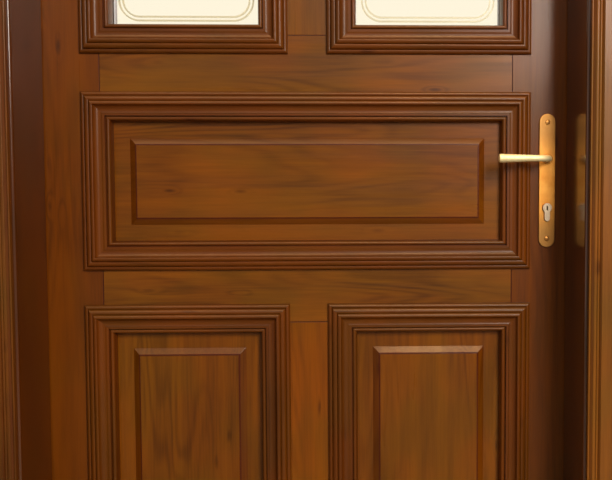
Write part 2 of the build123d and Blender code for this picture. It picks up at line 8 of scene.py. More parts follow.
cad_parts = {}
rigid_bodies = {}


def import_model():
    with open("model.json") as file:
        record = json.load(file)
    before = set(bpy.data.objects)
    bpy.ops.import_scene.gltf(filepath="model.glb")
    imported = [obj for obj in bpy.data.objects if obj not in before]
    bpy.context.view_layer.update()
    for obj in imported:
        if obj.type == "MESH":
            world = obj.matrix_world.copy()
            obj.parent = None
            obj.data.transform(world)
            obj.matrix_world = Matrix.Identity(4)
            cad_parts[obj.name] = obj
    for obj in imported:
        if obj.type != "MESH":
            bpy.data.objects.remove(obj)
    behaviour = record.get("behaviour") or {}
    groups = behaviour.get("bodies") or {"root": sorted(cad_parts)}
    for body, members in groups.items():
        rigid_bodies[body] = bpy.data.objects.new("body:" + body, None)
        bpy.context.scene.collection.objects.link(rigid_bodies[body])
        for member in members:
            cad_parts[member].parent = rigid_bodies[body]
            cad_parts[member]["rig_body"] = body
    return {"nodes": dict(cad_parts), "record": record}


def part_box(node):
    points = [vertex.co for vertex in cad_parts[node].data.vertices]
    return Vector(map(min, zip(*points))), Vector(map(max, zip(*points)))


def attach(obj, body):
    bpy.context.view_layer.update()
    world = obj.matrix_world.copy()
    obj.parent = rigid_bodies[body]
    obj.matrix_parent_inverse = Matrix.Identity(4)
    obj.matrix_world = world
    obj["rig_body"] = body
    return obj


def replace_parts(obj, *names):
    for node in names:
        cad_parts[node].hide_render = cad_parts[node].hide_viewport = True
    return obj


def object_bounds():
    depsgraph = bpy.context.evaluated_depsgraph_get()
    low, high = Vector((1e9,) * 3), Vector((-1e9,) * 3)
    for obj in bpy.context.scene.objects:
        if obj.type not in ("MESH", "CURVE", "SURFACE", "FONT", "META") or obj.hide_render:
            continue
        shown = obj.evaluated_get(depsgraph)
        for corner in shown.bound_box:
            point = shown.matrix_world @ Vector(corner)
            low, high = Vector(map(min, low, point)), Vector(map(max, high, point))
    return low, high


# Panelled front door in its frame, seen from outside. Lengths are in metres, but the sections of the
# moulding and the casing are in millimetres.
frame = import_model()
cad_low, cad_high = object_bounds()
nodes = frame["nodes"]
slot_of = {part["node"]: part["material_slot"] for part in frame["record"]["subparts"]}
MM = 0.001
X, Z = Vector((1, 0, 0)), Vector((0, 0, 1))
OUTSIDE, INSIDE = Vector((0, -1, 0)), Vector((0, 1, 0))


def middle_of(node):
    """The middle of a node's box."""
    low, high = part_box(node)
    return (low + high) / 2


def srgb(red, green, blue):
    """A colour as a picture editor shows it, for a shader."""
    def linear(value):
        value /= 255
        return value / 12.92 if value <= 0.04045 else ((value + 0.055) / 1.055) ** 2.4
    return (linear(red), linear(green), linear(blue), 1.0)


# Places read from the frame
leaf_low, leaf_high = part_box("stile_right")
outer_face, inner_face = leaf_low.y, leaf_high.y
lever_axis = middle_of("spindle")
plate_middle = middle_of("backplate_outer").z
hinge_line = middle_of("hinge_pins")

# Edges that turn more than the edge angle are eased. A board's faces meet sharply past the plane angle, and
# faces that turn less than the flat angle become one.
EDGE_ANGLE = math.radians(32)
PLANE_ANGLE = math.radians(10)
FLAT_ANGLE = math.radians(1)
RAIL_EASING = 0.9 * MM
JAMB_EASING = 1.1 * MM
PANEL_EASING = 0.7 * MM
PLATE_EASING = 1.1 * MM
PLATE_EASING_SEGMENTS = 3
CYLINDER_EASING = 0.25 * MM

# Points of a copied mesh and of a turned piece that lie closer than this become one
MERGE_DISTANCE = 0.005 * MM
SPIN_MERGE_DISTANCE = 0.002 * MM

# Steps round a turned piece
ROUND_STEPS = 48

# Bolection moulding in millimetres, from its outer edge on the framing to its inner edge over the panel.
# A bead swells to its crest, and a step runs straight to its end. The cove's angles are in degrees.
MOULDING_EDGE = 2.0
OUTER_BEAD = {"width": 7.5, "crest": 7.9, "end": 6.2}
SECOND_BEAD = {"width": 9.6, "crest": 12.9, "end": 11.2}
CROWN_BEAD = {"width": 7.6, "crest": 16.4, "end": 14.9}
COVE = {"width": 14.5, "steep": 75, "shallow": -23}
# A step's share of staining and painted shade is given with it
FILLET = {"width": 4.6, "end": 6.6, "staining_and_shade": 0.2}
DEEP_QUIRK = {"width": 1.6, "end": 2.0}
INNER_BEAD = {"width": 7.2, "crest": 5.6, "end": 0.4}
INNER_FALL = {"width": 1.6, "end": -5.4, "staining_and_shade": 0.5}
MOULDING_LAP = 34.0
BEAD_SIDES = 12
COVE_SIDES = 20

# Staining with painted shade that darkens a section at its feet and in its quirks, painted shade down the
# cove under the crown, and how steeply the darkening fades out of a quirk and down the cove
FOOT_STAINING_AND_SHADE = 0.8
EDGE_STAINING_AND_SHADE = 0.4
COVE_SHADE = 0.6
QUIRK_FADE = 6
COVE_FADE = 2

# Casing in millimetres, from its inner edge beside the opening
CASING_EDGE = 9.0
CASING_BEAD = {"width": 3.4, "crest": 10.4, "end": 9.0}
CASING_RISE = {"width": 3.6, "end": 12.2, "staining_and_shade": 0.6}
CASING_ROUND = {"width": 5.4, "crest": 13.8, "end": 12.9}
CASING_SECOND_BEAD = {"width": 4.2, "crest": 15.2, "end": 13.4}
CASING_SLOPE = {"width": 3.6, "end": 18.0, "staining_and_shade": 0.0}
CASING_CORNER = 3.0

# Raised field of a panel, from the edge of the panel's board
FIELD_INSET = 59.5 * MM
FIELD_SLOPE = 11.0 * MM
FIELD_QUIRK = 1.7 * MM
FIELD_SOFTNESS = 1.3 * MM

# Etched border in the glass
BORDER_INSET = 28 * MM
BORDER_RADIUS = 37 * MM
BORDER_GAP = 7 * MM
BORDER_WIDTH = 1.6 * MM

# Lever: a round neck that bends into a tapered grip
NECK_RADIUS = 5.8 * MM
NECK_BEND = 29 * MM
NECK_BEND_STEPS = 16
NECK_ROOT = 1.0 * MM
STANDOFF = 42 * MM
NECK_STRAIGHT = STANDOFF - NECK_BEND - NECK_ROOT
TIP_ROUNDING = 2.6 * MM
GRIP_RINGS = 12

# Backplate and the bushing on it
PLATE_THICKNESS = 3.9 * MM
COLLAR_GAP = 0.12 * MM
COLLAR_RADIUS = 9.45 * MM
COLLAR_RISE = 2.55 * MM
COLLAR_ROUNDING = 0.9 * MM
COLLAR_SLOPE = {"width": 0.8 * MM, "depth": 0.6 * MM}

# How a length of moulding or casing ends, and the place of its grain in the list of moulding finishes
INNER_MITRE, OUTER_MITRE, SQUARE_END = 1, -1, 0
UPRIGHT, LEVEL = 0, 1

# Screws and their places. The wing gap is between the two wings of a hinge, and slots turn in radians.
PLATE_SCREW = {"radius": 4.1 * MM, "rise": 1.5 * MM}
PLATE_SCREW_REACH = 107 * MM
HINGE_SCREW = {"radius": 3.8 * MM, "rise": 0.4 * MM}
HINGE_SCREW_HEIGHTS = (-42 * MM, -14 * MM, 14 * MM, 42 * MM)
HINGE_SCREW_DEPTHS = (20 * MM, 10 * MM)
WING_GAP = 3.0 * MM
LOCK_SCREW = {"radius": 3.4 * MM, "rise": 0.4 * MM}
FOREND_SCREW_INSET = 12 * MM
STRIKE_SCREW_INSET = 10.5 * MM
CYLINDER_HEIGHT = 960 * MM
PLATE_SLOT_TURN = 0.5
HINGE_SLOT_TURN, HINGE_SLOT_STEP = 0.4, 1.3
FOREND_SLOT_TURN = 0.3
STRIKE_SLOT_TURN = 0.8
SCREW_STEPS = 28

# Slot of a screw, as shares of the head's radius and rise
SLOT_HALF_WIDTH = 0.13
SLOT_FLOOR_RISE = 0.3
SLOT_FLOOR_RADII = (0.98, 0.9)

# Ring of painted countersink shadow round a screw's head
SEAT_GAP = 0.05 * MM
SEAT_WIDTH = 1.1 * MM
SEAT_RISE = 0.12 * MM
SEAT_EDGE_SHARE = 0.4
SEAT_LIP = 0.2 * MM
SEAT_STEPS = 36


# Materials
class Nodes:
    """Short ways to add nodes to a tree."""

    def __init__(self, tree):
        self.tree = tree

    def feed(self, socket, value):
        """Gives a socket a plain value or another node's output."""
        if isinstance(value, bpy.types.NodeSocket):
            self.tree.links.new(value, socket)
        else:
            socket.default_value = value

    def add(self, kind, inputs=None, **settings):
        """One node. An input is a plain value or another node's output."""
        node = self.tree.nodes.new(kind)
        for key, value in settings.items():
            setattr(node, key, value)
        for key, value in (inputs or {}).items():
            self.feed(node.inputs[key], value)
        return node

    def maths(self, operation, *values):
        """The result of a sum on plain values or outputs."""
        return self.add("ShaderNodeMath", dict(enumerate(values)), operation=operation).outputs[0]


class Finish(Nodes):
    """A material being made, with its pattern on the piece's own coordinates."""

    # Places of a Mix node's colour sockets, which share their names with its other kinds
    MIX_FACTOR, MIX_FIRST, MIX_SECOND, MIX_RESULT = 0, 6, 7, 2

    def __init__(self, name):
        self.material = bpy.data.materials.new(name)
        self.material.use_nodes = True
        super().__init__(self.material.node_tree)
        self.shader = self.tree.nodes["Principled BSDF"]
        self.place = self.add("ShaderNodeTexCoord").outputs["Object"]

    def vector_maths(self, operation, *values):
        """The result of a sum on vectors."""
        node = self.add("ShaderNodeVectorMath", dict(enumerate(values)), operation=operation)
        return node.outputs["Value" if operation == "LENGTH" else "Vector"]

    def parts(self, vector):
        """The X, Y and Z of a vector."""
        return self.add("ShaderNodeSeparateXYZ", {"Vector": vector}).outputs

    def from_middle(self, node):
        """How far a place lies from the middle of a node's box on each axis, and half of the box."""
        low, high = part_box(node)
        offset = self.vector_maths("SUBTRACT", self.place, tuple((low + high) / 2))
        return self.vector_maths("ABSOLUTE", offset), (high - low) / 2

    def placed(self, source, move=(0, 0, 0), turn=(0, 0, 0), scale=(1, 1, 1)):
        """Coordinates moved, turned and scaled."""
        inputs = {"Vector": source, "Location": move, "Rotation": turn, "Scale": scale}
        return self.add("ShaderNodeMapping", inputs).outputs["Vector"]

    def noise(self, source, scale, detail=2.0, roughness=0.5, distortion=0.0):
        """A soft random value."""
        inputs = {"Vector": source, "Scale": scale, "Detail": detail,
                  "Roughness": roughness, "Distortion": distortion}
        return self.add("ShaderNodeTexNoise", inputs).outputs["Fac"]

    def layer(self, source, stretch, scale, move=(0, 0, 0), **settings):
        """A soft random value drawn out along Z."""
        return self.noise(self.placed(source, move=move, scale=(1, 1, stretch)), scale, **settings)

    def spread(self, value, low, high, to_low=0.0, to_high=1.0, smooth=False):
        """A value stretched from one range to another, and held there."""
        inputs = {"Value": value, "From Min": low, "From Max": high, "To Min": to_low, "To Max": to_high}
        kind = "SMOOTHSTEP" if smooth else "LINEAR"
        return self.add("ShaderNodeMapRange", inputs, interpolation_type=kind).outputs["Result"]

    def uneven(self, pattern, roughness, span):
        """A roughness that varies a little with a pattern."""
        return self.spread(pattern, *MIDDLE_RANGE, roughness + span[0], roughness + span[1])

    def mix(self, factor, first, second, blend="MIX"):
        """Two colours mixed."""
        inputs = {self.MIX_FACTOR: factor, self.MIX_FIRST: first, self.MIX_SECOND: second}
        return self.add("ShaderNodeMix", inputs, data_type="RGBA", blend_type=blend).outputs[self.MIX_RESULT]

    def set(self, **values):
        """Plain values or outputs for the shader's own sockets, named with underscores."""
        for key, value in values.items():
            self.feed(self.shader.inputs[key.replace("_", " ")], value)

    def bump(self, height, depth, strength):
        """Fine relief for the shader."""
        node = self.add("ShaderNodeBump", {"Height": height, "Distance": depth, "Strength": strength})
        self.tree.links.new(node.outputs["Normal"], self.shader.inputs["Normal"])


# Pattern of the wood. A range is (from, to), with the results at its two ends where they are not 0 and 1.
GRAIN_TURN = {"upright": (0, 0, 0), "level": (0, math.pi / 2, 0)}
SEED_MOVE = (1.37, 0.73, 2.11)
MIDDLE_RANGE = (0.3, 0.7)
FLAME_STRETCH = 0.3
FLAME_SCALE = 40.0
FLAME_CHANCE = (0.18, 0.22, 1.0, 0.0)
FLAME_STRENGTH = (0.0, 1.0, 0.35, 1.0)
FLAME_REACH = (0.04, 0.5, 1.0, 0.0)
FLAME_SWELL = 0.06
HEART_REACH = (0.05, 0.22, 1.0, 0.0)
HEART_DEPTH = 0.9
GROWTH = {"stretch": 0.11, "scale": 8.0, "roughness": 0.45, "distortion": 0.3}
RING_COUNT = 44.0
RING_RANGE = (0.25, 1.0)
RING_PATCHES = {"stretch": 0.35, "scale": 7.0}
RING_SHOWS = (0.46, 0.66, 0.12, 1.0)
RING_RELIEF = 0.35
FIGURE = 0.42
FIBRE = {"stretch": 0.035, "scale": 340.0, "roughness": 0.6}
STREAK = {"stretch": 0.05, "scale": 42.0, "detail": 3.0, "roughness": 0.55}
CLOUD = {"stretch": 0.5, "scale": 5.2, "detail": 3.0, "distortion": 0.3}
OLIVE = {"stretch": 0.5, "scale": 11.0, "move": (3.1, 1.7, 0.4)}
STREAK_DEPTH = (0.36, 0.66, -0.06, 0.36)
FIBRE_DEPTH = (0.35, 0.7, -0.04, 0.24)
CLOUD_DEPTH = (0.32, 0.66, -0.18, 0.3)
FULL_DEPTH = (0.0, 1.25)
OLIVE_SHARE = (0.42, 0.62, 0.0, 0.6)
OLIVE_TINT = (0.76, 1.0, 0.9, 1.0)
WOOD_UNEVENNESS = (-0.05, 0.07)
GRAIN_RELIEF = {"depth": 0.08 * MM, "strength": 0.4}

# Staining with painted shade in the quirks and on the panels' fields, dark joints, and lacquer on the boards
STAINING_AND_SHADE_COLOUR = srgb(74, 12, 0)
JOINT_STAIN = srgb(60, 16, 2)
STAINING_AND_SHADE_SHARE = 0.46
SLOPE_STAINING_AND_SHADE = 0.32
QUIRK_STAINING_AND_SHADE = 0.85
LEAF_LACQUER = {"roughness": 0.32, "coat": 0.08}
FRAME_LACQUER = {"roughness": 0.18, "coat": 0.9}
CASING_LACQUER = {"roughness": 0.34, "coat": 0.08}
MOULDING_LACQUER = {"roughness": 0.33, "coat": 0.05}

# Boards with the way of their grain and their light and dark colours
LEAF_COLOURS = (srgb(136, 75, 10), srgb(76, 35, 2))
STILE_COLOURS = (srgb(119, 59, 3), srgb(68, 28, 0))
LOWER_MUNTIN_COLOURS = (srgb(146, 74, 2), srgb(92, 42, 0))
PANEL_COLOURS = (srgb(134, 72, 7), srgb(75, 33, 0))
FRAME_COLOURS = (srgb(89, 38, 0), srgb(54, 18, 0))
MOULDING_COLOURS = (srgb(114, 57, 9), srgb(74, 31, 1))
BOARDS = {
    "stile_left": ("upright", *STILE_COLOURS),
    "stile_right": ("upright", *STILE_COLOURS),
    "muntin_upper": ("upright", *LEAF_COLOURS),
    "muntin_lower": ("upright", *LOWER_MUNTIN_COLOURS),
    "top_rail": ("level", *LEAF_COLOURS),
    "frieze_rail": ("level", *LEAF_COLOURS),
    "lock_rail": ("level", *LEAF_COLOURS),
    "bottom_rail": ("level", *LEAF_COLOURS),
    "panel_middle": ("level", *PANEL_COLOURS),
    "panel_lower_left": ("upright", *PANEL_COLOURS),
    "panel_lower_right": ("upright", *PANEL_COLOURS),
    "jamb_left": ("upright", *FRAME_COLOURS),
    "jamb_right": ("upright", *FRAME_COLOURS),
    "frame_head": ("level", *FRAME_COLOURS),
    "threshold": ("level", *FRAME_COLOURS),
}
CASINGS = {
    "left": ("upright", srgb(116, 63, 12), srgb(78, 38, 4)),
    "head": ("level", srgb(124, 70, 18), srgb(84, 43, 7)),
    "right": ("upright", srgb(140, 82, 22), srgb(88, 44, 6)),
}
MOULDING_SEED = 23
MOULDING_FIGURE = 0.3
CASING_SEED = 31


def stained_wood(name, grain, light, dark, seed, roughness, coat, figure=FIGURE, with_staining_and_shade=False, field=None):
    """Softwood under dark staining and lacquer. The grain runs along Z, or along X for level boards."""
    wood = Finish(name)
    move = tuple(seed * step for step in SEED_MOVE)
    board = wood.placed(wood.place, move=move, turn=GRAIN_TURN[grain])

    cells = wood.add("ShaderNodeTexVoronoi", {
        "Vector": wood.placed(board, scale=(1, 1, FLAME_STRETCH)), "Scale": FLAME_SCALE, "Randomness": 1.0})
    chance = wood.add("ShaderNodeSeparateColor", {"Color": cells.outputs["Color"]}).outputs
    flame_here = wood.spread(chance[0], *FLAME_CHANCE)
    flame_here = wood.maths("MULTIPLY", flame_here, wood.spread(chance[1], *FLAME_STRENGTH))
    off_centre = cells.outputs["Distance"]
    flame = wood.maths("MULTIPLY", flame_here, wood.spread(off_centre, *FLAME_REACH, smooth=True))
    heart = wood.maths("MULTIPLY", flame_here, wood.spread(off_centre, *HEART_REACH, smooth=True))

    growth = wood.layer(board, **GROWTH)
    growth = wood.maths("ADD", growth, wood.maths("MULTIPLY", flame, FLAME_SWELL))
    ring = wood.maths("PINGPONG", wood.maths("MULTIPLY", growth, RING_COUNT), 1.0)
    ring = wood.spread(ring, *RING_RANGE, smooth=True)
    ring_shows = wood.spread(wood.layer(board, **RING_PATCHES), *RING_SHOWS)
    ring = wood.maths("MULTIPLY", ring, wood.maths("MAXIMUM", ring_shows, flame))

    fibre = wood.layer(board, **FIBRE)
    streak = wood.layer(board, **STREAK)
    cloud = wood.layer(board, **CLOUD)
    depth = wood.maths("MULTIPLY", ring, figure)
    for pattern, reach in ((streak, STREAK_DEPTH), (fibre, FIBRE_DEPTH), (cloud, CLOUD_DEPTH)):
        depth = wood.maths("ADD", depth, wood.spread(pattern, *reach))
    depth = wood.maths("ADD", depth, wood.maths("MULTIPLY", heart, HEART_DEPTH))
    colour = wood.mix(wood.spread(depth, *FULL_DEPTH), light, dark)
    olive = wood.spread(wood.layer(board, **OLIVE), *OLIVE_SHARE)
    colour = wood.mix(olive, colour, OLIVE_TINT, blend="MULTIPLY")
    # A section's staining with painted shade, darkest in its quirks and where it meets the panel
    if with_staining_and_shade:
        section_staining_and_shade = wood.add("ShaderNodeAttribute", attribute_name="staining_and_shade").outputs["Fac"]
        colour = wood.mix(wood.maths("MULTIPLY", section_staining_and_shade, STAINING_AND_SHADE_SHARE), colour, STAINING_AND_SHADE_COLOUR)
    # Staining with painted shade on a panel field's slope and in its quirk
    if field:
        colour = wood.mix(field_staining_and_shade(wood, field), colour, STAINING_AND_SHADE_COLOUR)
    wood.set(Base_Color=colour, Roughness=wood.uneven(streak, roughness, WOOD_UNEVENNESS),
             Specular_IOR_Level=0.2, Coat_Weight=coat, Coat_Roughness=0.16)
    wood.bump(wood.maths("ADD", fibre, wood.maths("MULTIPLY", ring, RING_RELIEF)), **GRAIN_RELIEF)
    return wood.material


def field_staining_and_shade(wood, node):
    """The share of staining with painted shade on the slope of a panel's raised field and in the quirk inside
    it.
    """
    offset, half = wood.from_middle(node)
    reach = (half.x - FIELD_INSET, 0.0, half.z - FIELD_INSET)
    past = wood.parts(wood.vector_maths("SUBTRACT", offset, reach))
    past = wood.maths("MAXIMUM", past["X"], past["Z"])
    slope = wood.spread(past, 0.0, FIELD_SOFTNESS, SLOPE_STAINING_AND_SHADE, 0.0)
    inner = wood.spread(past, -FIELD_SLOPE - FIELD_SOFTNESS, -FIELD_SLOPE)
    from_quirk = wood.maths("ABSOLUTE", wood.maths("ADD", past, FIELD_SLOPE + FIELD_QUIRK / 2))
    quirk = wood.spread(from_quirk, FIELD_QUIRK / 2, FIELD_QUIRK / 2 + FIELD_SOFTNESS, QUIRK_STAINING_AND_SHADE, 0.0)
    return wood.maths("MAXIMUM", wood.maths("MULTIPLY", slope, inner), quirk)


# Painted highlight on the jambs' corners, dark joints, and rubber
EDGE_HIGHLIGHT_COLOURS = (srgb(150, 100, 72), srgb(104, 56, 32))
EDGE_HIGHLIGHT_PATCHES = {"stretch": 0.15, "scale": 60.0, "detail": 3.0}
JOINT_SCALE = 60.0
RUBBER_COLOURS = (srgb(30, 20, 14), srgb(44, 30, 20))
RUBBER_SCALE = 900.0
RUBBER_RELIEF = {"depth": 0.05 * MM, "strength": 0.4}


def painted_edge_highlight():
    """A painted highlight: pale colour in patches along the eased corners of the frame's jambs."""
    edge = Finish("painted_edge_highlight")
    highlight_patches = edge.spread(edge.layer(edge.place, **EDGE_HIGHLIGHT_PATCHES), *MIDDLE_RANGE)
    edge.set(Base_Color=edge.mix(highlight_patches, *EDGE_HIGHLIGHT_COLOURS), Roughness=0.3, Coat_Weight=0.5)
    return edge.material


def dark_joint():
    """Stain collected in the joint between two boards."""
    joint = Finish("dark_joint_finish")
    tint = joint.spread(joint.noise(joint.place, JOINT_SCALE), *MIDDLE_RANGE)
    joint.set(Base_Color=joint.mix(tint, STAINING_AND_SHADE_COLOUR, JOINT_STAIN), Roughness=0.45, Specular_IOR_Level=0.25)
    return joint.material


def seal_rubber():
    """Dark brown extruded rubber."""
    rubber = Finish("seal_rubber")
    grain = rubber.noise(rubber.place, RUBBER_SCALE)
    rubber.set(Base_Color=rubber.mix(grain, *RUBBER_COLOURS), Roughness=0.72)
    rubber.bump(grain, **RUBBER_RELIEF)
    return rubber.material


# Metals. The backplates' brass carries a painted reflection: bright near the lever's height and fading to a
# duller colour above and below.
METALS = {
    "plate_brass": {"colour": srgb(229, 164, 82), "tarnish": srgb(212, 140, 62), "roughness": 0.42,
                    "relief": 0.25, "outside_reflection": srgb(154, 113, 66)},
    "lever_brass": {"colour": srgb(255, 240, 192), "tarnish": srgb(246, 224, 172), "roughness": 0.6,
                    "metallic": 0.6},
    "hinge_brass": {"colour": srgb(214, 172, 100), "tarnish": srgb(186, 138, 70), "roughness": 0.34},
    # Dark colour of the lever's bushing and of the rings round the plate screws: painted shade
    "painted_shade_bronze": {"colour": srgb(70, 30, 10), "tarnish": srgb(44, 18, 6), "roughness": 0.45},
    "cylinder_nickel": {"colour": srgb(228, 208, 184), "tarnish": srgb(202, 176, 152), "roughness": 0.34},
    "lock_steel": {"colour": srgb(176, 176, 178), "tarnish": srgb(150, 150, 152), "roughness": 0.36},
    "screw_brass": {"colour": srgb(240, 206, 132), "tarnish": srgb(214, 170, 92), "roughness": 0.2},
    "plate_screw_brass": {"colour": srgb(202, 150, 88), "tarnish": srgb(160, 108, 58), "roughness": 0.34},
}
TARNISH = {"scale": 38.0, "detail": 3.0, "roughness": 0.55}
TARNISH_RANGE = (0.38, 0.72)
BRUSH_MARKS = {"stretch": 0.02, "scale": 2600.0}
BRUSH_DEPTH = 0.02 * MM
METAL_UNEVENNESS = (-0.06, 0.08)
REFLECTION_HEIGHT = lever_axis.z - 44 * MM
REFLECTION_FADE = (30 * MM, 100 * MM, 0.0, 0.85)


def metal(name, colour, tarnish, roughness, relief=0.15, outside_reflection=None, metallic=1.0):
    """Metal with a slight tarnish and fine upright marks. When given a colour outside the reflection, a
    painted reflection keeps it bright near the lever's height and fades to that colour away from it.
    """
    plate = Finish(name)
    marks = plate.layer(plate.place, **BRUSH_MARKS)
    shade = plate.mix(plate.spread(plate.noise(plate.place, **TARNISH), *TARNISH_RANGE), colour, tarnish)
    # Painted reflection: bright near the lever's height, fading above and below
    if outside_reflection:
        height = plate.parts(plate.place)["Z"]
        away = plate.maths("ABSOLUTE", plate.maths("SUBTRACT", height, REFLECTION_HEIGHT))
        shade = plate.mix(plate.spread(away, *REFLECTION_FADE, smooth=True), shade, outside_reflection)
    plate.set(Base_Color=shade, Metallic=metallic, Roughness=plate.uneven(marks, roughness, METAL_UNEVENNESS))
    plate.bump(marks, BRUSH_DEPTH, relief)
    return plate.material


# Glass and the lines etched in it
GLASS_TINT = (0.985, 0.975, 0.95, 1)
ETCHED_COLOUR = srgb(226, 214, 178)
ETCHED_ROUGHNESS = 0.5
ETCHED_OPACITY = 0.55


def etched_glass(node):
    """Clear glass with two fine etched lines along its edge, rounded at the corners."""
    glass = Finish(node)
    offset, half = glass.from_middle(node)
    lines = 0.0
    for step in (0.0, BORDER_GAP):
        inset, radius = BORDER_INSET + step, BORDER_RADIUS - step
        reach = (half.x - inset - radius, 0.0, half.z - inset - radius)
        corner = glass.vector_maths("MAXIMUM", glass.vector_maths("SUBTRACT", offset, reach), (0, 0, 0))
        flat = glass.vector_maths("MULTIPLY", corner, (1, 0, 1))
        distance = glass.maths("SUBTRACT", glass.vector_maths("LENGTH", flat), radius)
        line = glass.spread(glass.maths("ABSOLUTE", distance), BORDER_WIDTH / 2, BORDER_WIDTH, 1.0, 0.0)
        lines = glass.maths("MAXIMUM", lines, line)
    clear = glass.maths("SUBTRACT", 1.0, glass.maths("MULTIPLY", lines, ETCHED_OPACITY))
    glass.set(Base_Color=glass.mix(lines, GLASS_TINT, ETCHED_COLOUR), IOR=1.46, Transmission_Weight=clear,
              Roughness=glass.maths("MULTIPLY", lines, ETCHED_ROUGHNESS))
    return glass.material


board_finish = {
    node: stained_wood(node, *board, seed, field=node if node.startswith("panel") else None,
                       **(FRAME_LACQUER if node.startswith(("jamb", "frame")) else LEAF_LACQUER))
    for seed, (node, board) in enumerate(BOARDS.items())
}
moulding_finishes = [
    stained_wood(f"moulding_{grain}", grain, *MOULDING_COLOURS, MOULDING_SEED + turn,
                 **MOULDING_LACQUER, figure=MOULDING_FIGURE, with_staining_and_shade=True)
    for turn, grain in enumerate(("upright", "level"))
]
casing_finish = {
    side: stained_wood(f"casing_{side}", *casing, CASING_SEED + number, **CASING_LACQUER, with_staining_and_shade=True)
    for number, (side, casing) in enumerate(CASINGS.items())
}
joint_finish = dark_joint()
edge_highlight_finish = painted_edge_highlight()
metals = {name: metal(name, **look) for name, look in METALS.items()}
slot_finishes = {
    "hinge_brass": metals["hinge_brass"],
    "cylinder_nickel": metals["cylinder_nickel"],
    "lock_steel": metals["lock_steel"],
    "handle_brass": metals["plate_brass"],
    "seal_rubber": seal_rubber(),
}


# Shapes
def give_finish(node, material):
    """A node's own mesh with one material."""
    nodes[node].data.materials.clear()
    nodes[node].data.materials.append(material)


def finish_mesh(name, mesh, materials, node, edge_angle=EDGE_ANGLE):
    """An object from a finished bmesh, riding on the node's body."""
    data = bpy.data.meshes.new(name)
    mesh.to_mesh(data)
    mesh.free()
    for material in materials:
        data.materials.append(material)
    if edge_angle:
        data.shade_smooth()
        data.set_sharp_from_angle(angle=edge_angle)
    piece = bpy.data.objects.new(name, data)
    bpy.context.scene.collection.objects.link(piece)
    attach(piece, nodes[node]["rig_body"])
    return piece


def join_mesh(whole, part):
    """Adds one bmesh to another."""
    data = bpy.data.meshes.new("part")
    part.to_mesh(data)
    part.free()
    whole.from_mesh(data)
    bpy.data.meshes.remove(data)


def cut_away(mesh, place, normal):
    """Cuts off what lies beyond a plane, and closes the cut."""
    everything = mesh.verts[:] + mesh.edges[:] + mesh.faces[:]
    cut = bmesh.ops.bisect_plane(mesh, geom=everything, plane_co=place, plane_no=normal, clear_outer=True)
    rim = [item for item in cut["geom_cut"] if isinstance(item, bmesh.types.BMEdge)]
    bmesh.ops.edgeloop_fill(mesh, edges=rim)


def spun(profile, centre, axis, steps=ROUND_STEPS):
    """A bmesh turned round a level axis. A point of the profile is (distance along the axis, radius)."""
    mesh = bmesh.new()
    line = [mesh.verts.new(centre + axis * distance + Z * radius) for distance, radius in profile]
    edges = [mesh.edges.new(pair) for pair in zip(line, line[1:])]
    bmesh.ops.spin(mesh, geom=line + edges, cent=centre, axis=axis, angle=2 * math.pi, steps=steps,
                   use_merge=True)
    bmesh.ops.remove_doubles(mesh, verts=mesh.verts, dist=SPIN_MERGE_DISTANCE)
    bmesh.ops.recalc_face_normals(mesh, faces=mesh.faces)
    return mesh


def rounding(start, radius, depth, drop, sides=6):
    """Profile points of a rounded end: outwards by depth while the radius falls by drop."""
    turns = [math.pi / 2 * side / sides for side in range(sides + 1)]
    return [(start + depth * math.sin(turn), radius - drop * (1 - math.cos(turn))) for turn in turns]


def eased_copy(node, radius, materials, segments=2, crease=EDGE_ANGLE):
    """The node's own form with its sharp outer edges eased. Eased edges take the last material."""
    mesh = bmesh.new()
    mesh.from_mesh(nodes[node].data)
    bmesh.ops.remove_doubles(mesh, verts=mesh.verts, dist=MERGE_DISTANCE)
    bmesh.ops.dissolve_limit(mesh, angle_limit=FLAT_ANGLE, verts=mesh.verts, edges=mesh.edges)
    sharp = [edge for edge in mesh.edges
             if edge.is_manifold and edge.is_convex and edge.calc_face_angle() > EDGE_ANGLE]
    for face in mesh.faces:
        face.material_index = 0
        face.smooth = True
    for edge in mesh.edges:
        edge.smooth = edge.is_manifold and edge.calc_face_angle() < crease
    for edge in sharp:
        edge.smooth = True
    eased = bmesh.ops.bevel(mesh, geom=sharp, offset=radius, offset_type="OFFSET", segments=segments,
                            profile=0.5, affect="EDGES", material=-1)
    for face in eased["faces"]:
        face.material_index = len(materials) - 1
        face.smooth = True
    for edge in mesh.edges:
        if edge.is_manifold and not edge.is_convex and edge.calc_face_angle() > crease:
            edge.smooth = False
    piece = finish_mesh(f"{node}_eased", mesh, materials, node, edge_angle=None)
    even = piece.modifiers.new("flat_faces", "WEIGHTED_NORMAL")
    even.mode = "FACE_AREA"
    even.weight = 100
    even.keep_sharp = True
    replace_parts(piece, node)


